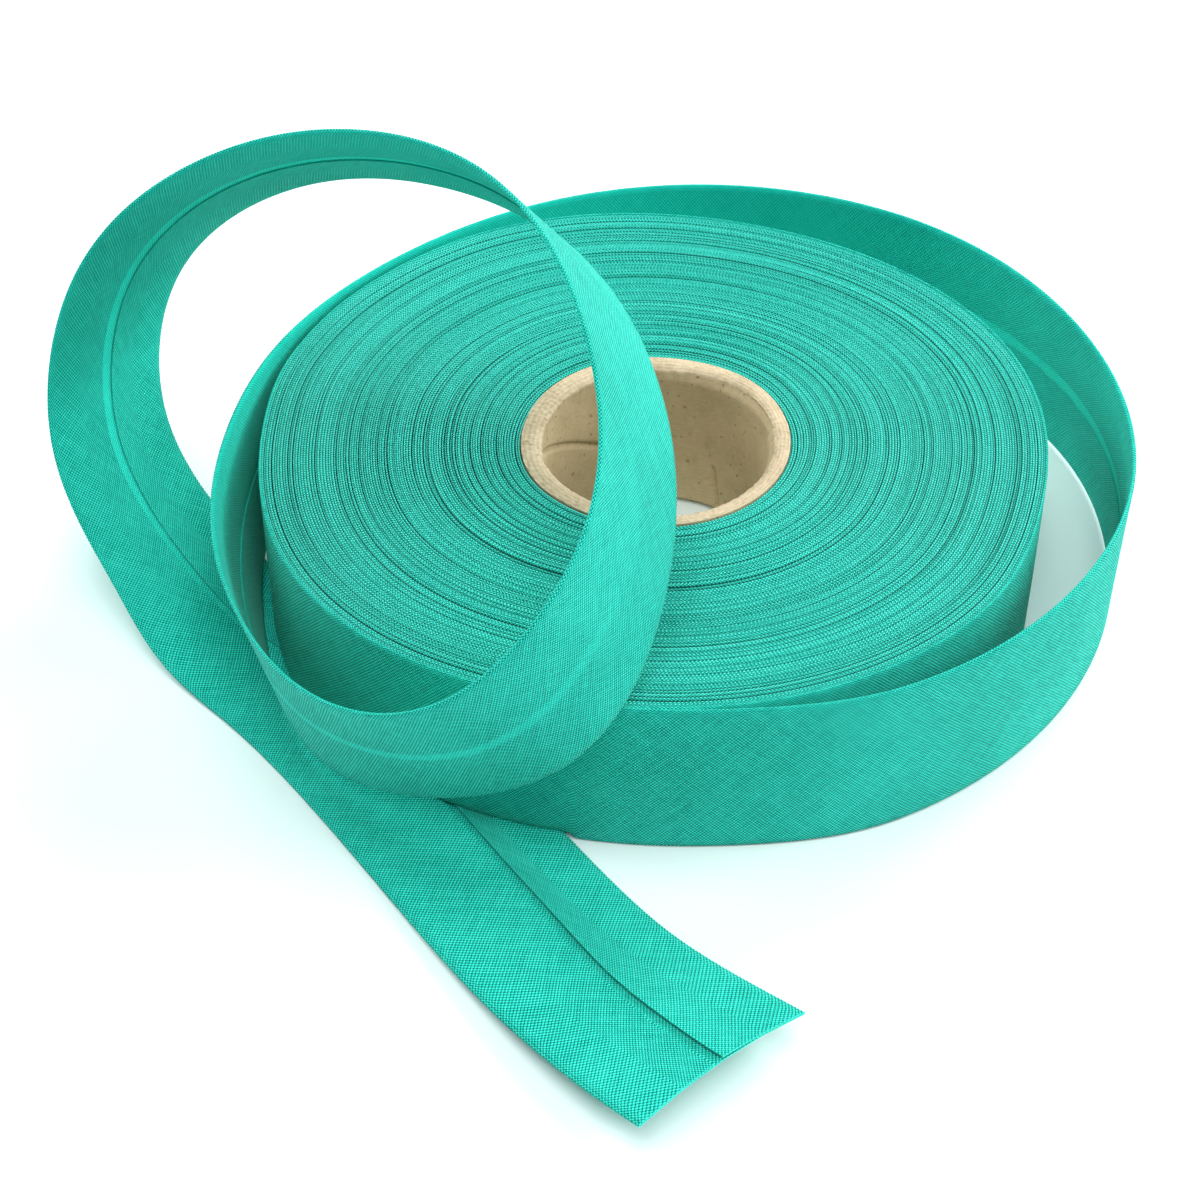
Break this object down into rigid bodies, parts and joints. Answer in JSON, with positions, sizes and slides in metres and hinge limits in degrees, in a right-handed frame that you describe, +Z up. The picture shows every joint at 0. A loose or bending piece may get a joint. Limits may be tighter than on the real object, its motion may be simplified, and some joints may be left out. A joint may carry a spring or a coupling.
{
  "type": "roll of bias binding",
  "caption": "Roll of folded bias binding on a cardboard tube, lying flat, with its end sprung off in a loop over the roll and out as a flat tail.",
  "frame": {"origin": "on the surface, under the middle of the whole object's box; the roll's axis is upright at x 8.7 mm, y 18.3 mm", "axes": "+Z up along the roll's axis; -Y towards the front, where the flat tail ends"},
  "size_m": [0.1554, 0.1665, 0.0764],
  "materials": {
    "bias_binding": "matt plain weave on the bias, folded",
    "kraft_cardboard": "raw kraft board, rough cut rims"
  },
  "bodies": {
    "root": {"core": "kraft_cardboard", "wound_roll": "bias_binding", "loose_end": "bias_binding"}
  },
  "joints": []
}
